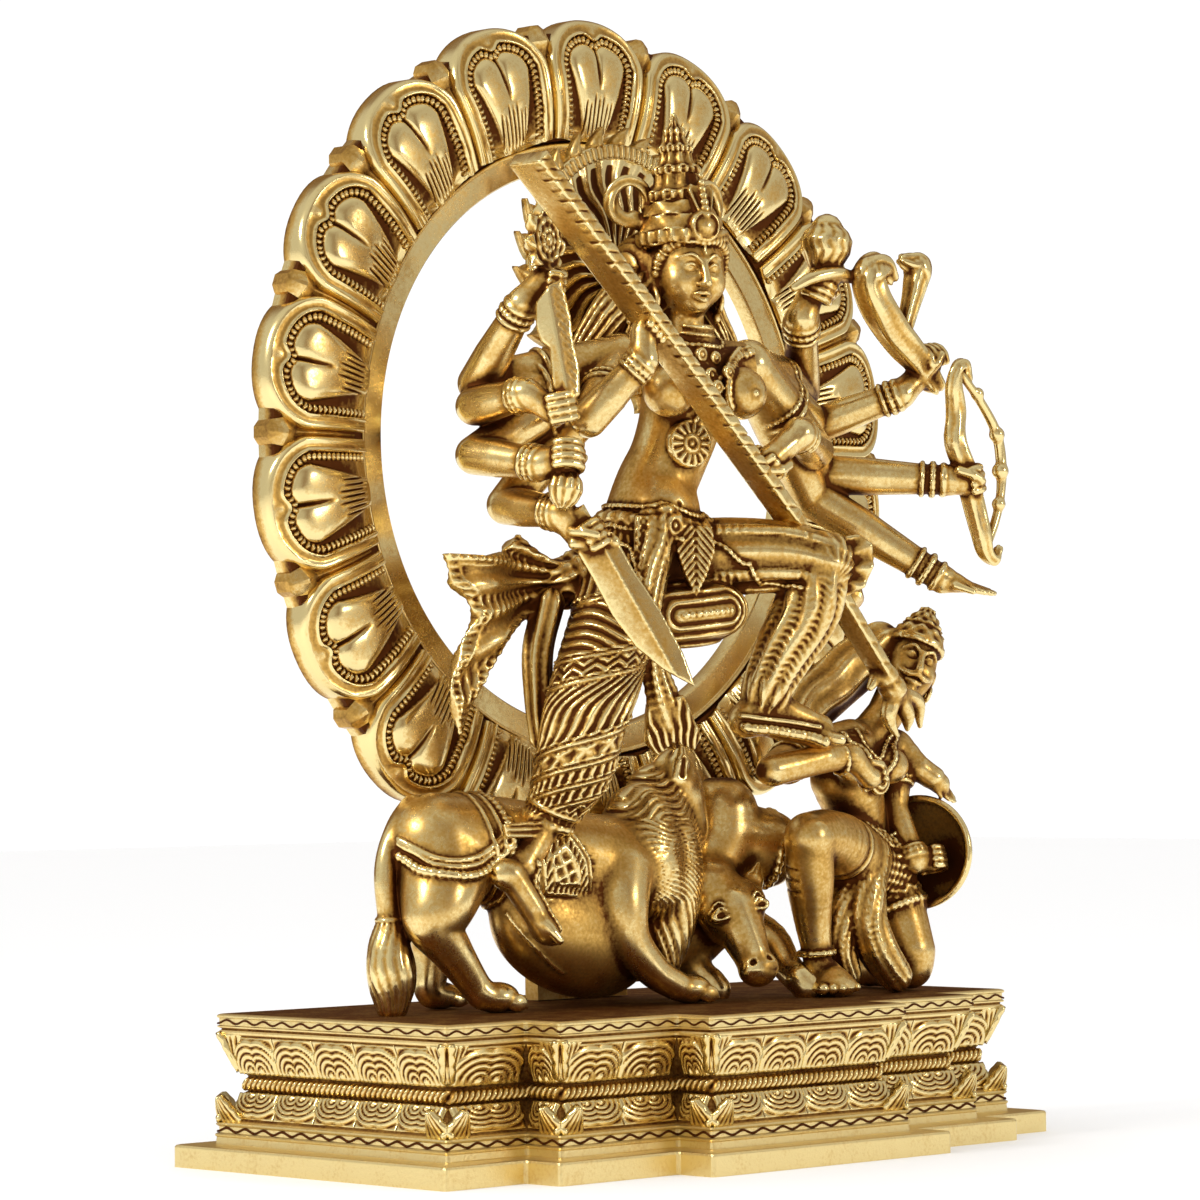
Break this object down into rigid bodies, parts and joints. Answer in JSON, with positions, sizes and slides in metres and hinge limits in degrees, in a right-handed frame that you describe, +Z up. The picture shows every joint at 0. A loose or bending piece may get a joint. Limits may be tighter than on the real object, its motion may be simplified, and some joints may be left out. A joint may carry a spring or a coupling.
{
  "type": "durga figure",
  "caption": "Cast brass group of a many-armed goddess with trident, lion, fallen buffalo and kneeling demon before a lotus-petal halo ring, on a stepped plinth with petal mouldings.",
  "frame": {"origin": "middle of the plinth's underside", "axes": "+Z up, the group faces -Y, +X to the goddess's left hand"},
  "size_m": [0.276, 0.153, 0.363],
  "materials": {
    "plinth_brass": "cast brass, satin, with dark patina in the carving",
    "halo_brass": "cast brass, polished band and petals, pitted edge, dark patina in the grooves",
    "trident_brass": "cast brass, polished",
    "goddess_brass": "cast brass, polished skin, dark patina in drapery and jewellery",
    "lion_brass": "cast brass, polished, dark patina in the mane",
    "buffalo_brass": "cast brass, polished, dark patina in the carving",
    "demon_brass": "cast brass, polished, dark patina in the carving"
  },
  "bodies": {
    "root": {"plinth": "plinth_brass", "halo_ring": "halo_brass", "trident": "trident_brass", "durga": "goddess_brass", "lion": "lion_brass", "buffalo": "buffalo_brass", "demon": "demon_brass"}
  },
  "joints": []
}
